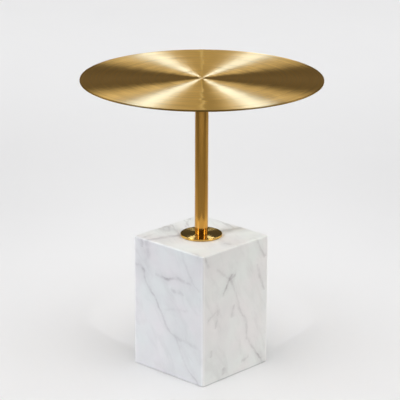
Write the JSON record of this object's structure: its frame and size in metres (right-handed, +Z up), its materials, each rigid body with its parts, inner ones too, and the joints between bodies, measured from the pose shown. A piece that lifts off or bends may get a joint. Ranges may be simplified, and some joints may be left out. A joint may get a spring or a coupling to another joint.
{
  "type": "side table",
  "caption": "Side table with a thin round brushed-brass top on a slim brass column, clamped by a tie rod to a square white marble block; holds drinks, a lamp or books beside a seat.",
  "frame": {"origin": "on the floor under the column's axis, at the centre of the footprint", "axes": "+Z up along the column, +X and +Y square to the faces of the marble block"},
  "size_m": [0.4, 0.4, 0.5],
  "materials": {
    "brushed_brass": "circular brushed",
    "satin_brass": "satin",
    "mirror_brass": "mirror polished",
    "white_marble": "honed, grey veins",
    "zinc_steel": "bright zinc plated",
    "black_rubber": "matte"
  },
  "bodies": {
    "root": {"centring_bush": "zinc_steel", "clamp_nut": "zinc_steel", "clamp_washer": "zinc_steel", "column_rosette": "mirror_brass", "column_tube": "satin_brass", "foot_1": "black_rubber", "foot_2": "black_rubber", "foot_3": "black_rubber", "foot_4": "black_rubber", "lock_washer": "zinc_steel", "marble_block": "white_marble", "stone_gasket": "black_rubber", "stud_nut_1": "zinc_steel", "stud_nut_2": "zinc_steel", "stud_nut_3": "zinc_steel", "stud_nut_4": "zinc_steel", "stud_washer_1": "zinc_steel", "stud_washer_2": "zinc_steel", "stud_washer_3": "zinc_steel", "stud_washer_4": "zinc_steel", "tie_rod": "zinc_steel", "top_disc": "brushed_brass", "top_flange": "satin_brass", "weld_stud_1": "zinc_steel", "weld_stud_2": "zinc_steel", "weld_stud_3": "zinc_steel", "weld_stud_4": "zinc_steel"}
  },
  "joints": []
}
